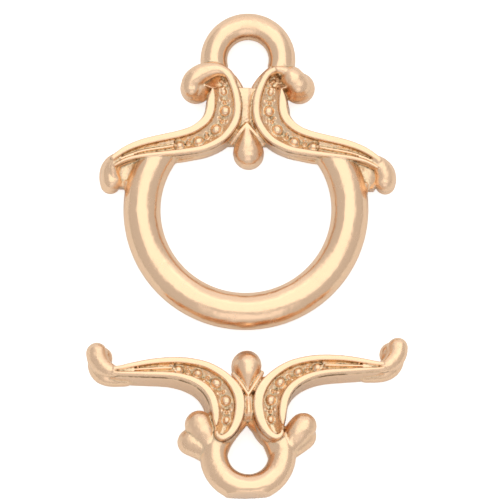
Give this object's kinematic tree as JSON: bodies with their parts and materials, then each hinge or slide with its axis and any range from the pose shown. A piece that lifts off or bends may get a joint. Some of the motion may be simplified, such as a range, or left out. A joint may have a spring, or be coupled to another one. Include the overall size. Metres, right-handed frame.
{
  "type": "toggle clasp",
  "caption": "Cast toggle clasp in loose halves: a round ring under beaded scrolls with an eye, and a scrolled cross bar with an eye that passes through the ring and turns to hold.",
  "frame": {"origin": "centre of the ring's opening, on the surface that the clasp lies on", "axes": "+Z up out of the surface and along the ring's opening, +Y from the bar half towards the ring half's eye, +X to the right as seen from above with +Y up"},
  "size_m": [0.0215, 0.0332, 0.003],
  "materials": {
    "plated_casting": "polished"
  },
  "bodies": {
    "root": {"ring_half": "plated_casting", "bar_half": "plated_casting"}
  },
  "joints": []
}
